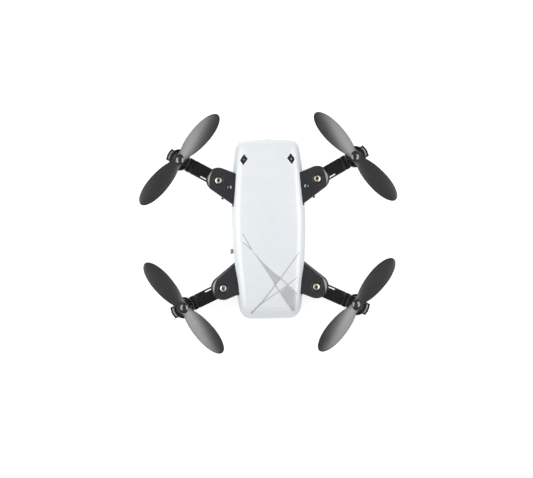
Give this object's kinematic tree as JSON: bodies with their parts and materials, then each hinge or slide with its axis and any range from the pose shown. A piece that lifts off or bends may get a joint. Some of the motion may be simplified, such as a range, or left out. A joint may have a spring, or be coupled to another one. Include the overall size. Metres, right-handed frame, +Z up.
{
  "type": "mini palm drone",
  "caption": "Palm-size drone with a slim white canopy over a black frame and folding arms, each with a motor and a two-blade propeller.",
  "frame": {"origin": "on the ground, at the centre of the box around the whole drone with its arms open", "axes": "+X to the drone's right, +Y towards its nose, +Z up"},
  "size_m": [0.115, 0.1068, 0.0259],
  "materials": {
    "white_shell": "satin white injection-moulded ABS with a faint cool cast",
    "black_frame": "semi-gloss black moulded nylon, slightly rounded edges",
    "propeller_plastic": "glossy dark grey-black flexible propeller plastic",
    "motor_case": "dull olive gold plated motor can",
    "shaft_steel": "ground steel shaft",
    "plated_steel": "nickel-plated steel with a warm cast",
    "lamp_plastic": "translucent grey-green LED epoxy",
    "lens_glass": "dark coated lens",
    "switch_knob": "tan plastic",
    "battery_wrap": "silver laminated pouch",
    "circuit_board": "green solder mask",
    "black_component": "black moulded component body",
    "wire_sleeve": "red silicone wire sleeve"
  },
  "bodies": {
    "fuselage": {"top_shell": "white_shell", "upper_frame": "black_frame", "bottom_shell": "black_frame", "battery": "battery_wrap", "main_board": "circuit_board", "processor_chip": "black_component", "motion_sensor": "black_component", "camera_board": "circuit_board", "camera_barrel": "black_frame", "camera_lens": "lens_glass", "switch_body": "black_component", "charge_socket": "plated_steel", "battery_lead": "wire_sleeve", "antenna_wire": "black_component", "led_holder_left": "black_frame", "led_holder_right": "black_frame", "led_lamp_left": "lamp_plastic", "led_lamp_right": "lamp_plastic", "shell_screw_1": "plated_steel", "shell_screw_2": "plated_steel", "shell_screw_3": "plated_steel", "shell_screw_4": "plated_steel", "pivot_screw_front_left": "plated_steel", "pivot_screw_front_right": "plated_steel", "pivot_screw_rear_left": "plated_steel", "pivot_screw_rear_right": "plated_steel"},
    "arm_unit_front_left": {"arm_front_left": "black_frame", "arm_cover_front_left": "black_frame", "motor_mount_front_left": "black_frame", "motor_can_front_left": "motor_case", "motor_cap_front_left": "black_component", "motor_lead_front_left": "wire_sleeve"},
    "rotor_unit_front_left": {"rotor_front_left": "shaft_steel", "propeller_front_left": "propeller_plastic"},
    "arm_unit_front_right": {"arm_front_right": "black_frame", "arm_cover_front_right": "black_frame", "motor_mount_front_right": "black_frame", "motor_can_front_right": "motor_case", "motor_cap_front_right": "black_component", "motor_lead_front_right": "wire_sleeve"},
    "rotor_unit_front_right": {"rotor_front_right": "shaft_steel", "propeller_front_right": "propeller_plastic"},
    "arm_unit_rear_left": {"arm_rear_left": "black_frame", "arm_cover_rear_left": "black_frame", "motor_mount_rear_left": "black_frame", "motor_can_rear_left": "motor_case", "motor_cap_rear_left": "black_component", "motor_lead_rear_left": "wire_sleeve"},
    "rotor_unit_rear_left": {"rotor_rear_left": "shaft_steel", "propeller_rear_left": "propeller_plastic"},
    "arm_unit_rear_right": {"arm_rear_right": "black_frame", "arm_cover_rear_right": "black_frame", "motor_mount_rear_right": "black_frame", "motor_can_rear_right": "motor_case", "motor_cap_rear_right": "black_component", "motor_lead_rear_right": "wire_sleeve"},
    "rotor_unit_rear_right": {"rotor_rear_right": "shaft_steel", "propeller_rear_right": "propeller_plastic"},
    "power_switch": {"switch_slider": "switch_knob"}
  },
  "joints": [
    {"name": "fold_front_left", "type": "hinge", "parent": "fuselage", "child": "arm_unit_front_left", "pos_m": [-0.0221, 0.02355, 0.0133], "axis": [0, 0, 1], "range_deg": [0, 96]},
    {"name": "fold_front_right", "type": "hinge", "parent": "fuselage", "child": "arm_unit_front_right", "pos_m": [0.0221, 0.02355, 0.0133], "axis": [0, 0, -1], "range_deg": [0, 96]},
    {"name": "fold_rear_left", "type": "hinge", "parent": "fuselage", "child": "arm_unit_rear_left", "pos_m": [-0.02085, -0.02475, 0.0099], "axis": [0, 0, -1], "range_deg": [0, 103]},
    {"name": "fold_rear_right", "type": "hinge", "parent": "fuselage", "child": "arm_unit_rear_right", "pos_m": [0.02085, -0.02475, 0.0099], "axis": [0, 0, 1], "range_deg": [0, 103]},
    {"name": "spin_front_left", "type": "hinge", "parent": "arm_unit_front_left", "child": "rotor_unit_front_left", "pos_m": [-0.03916, 0.033, 0.0244], "axis": [0, 0, 1], "continuous": true},
    {"name": "spin_front_right", "type": "hinge", "parent": "arm_unit_front_right", "child": "rotor_unit_front_right", "pos_m": [0.03916, 0.033, 0.0244], "axis": [0, 0, 1], "continuous": true},
    {"name": "spin_rear_left", "type": "hinge", "parent": "arm_unit_rear_left", "child": "rotor_unit_rear_left", "pos_m": [-0.03852, -0.03299, 0.021], "axis": [0, 0, 1], "continuous": true},
    {"name": "spin_rear_right", "type": "hinge", "parent": "arm_unit_rear_right", "child": "rotor_unit_rear_right", "pos_m": [0.03852, -0.03299, 0.021], "axis": [0, 0, 1], "continuous": true},
    {"name": "power_slide", "type": "slide", "parent": "fuselage", "child": "power_switch", "axis": [0, 1, 0], "range_m": [0, 0.002]}
  ]
}
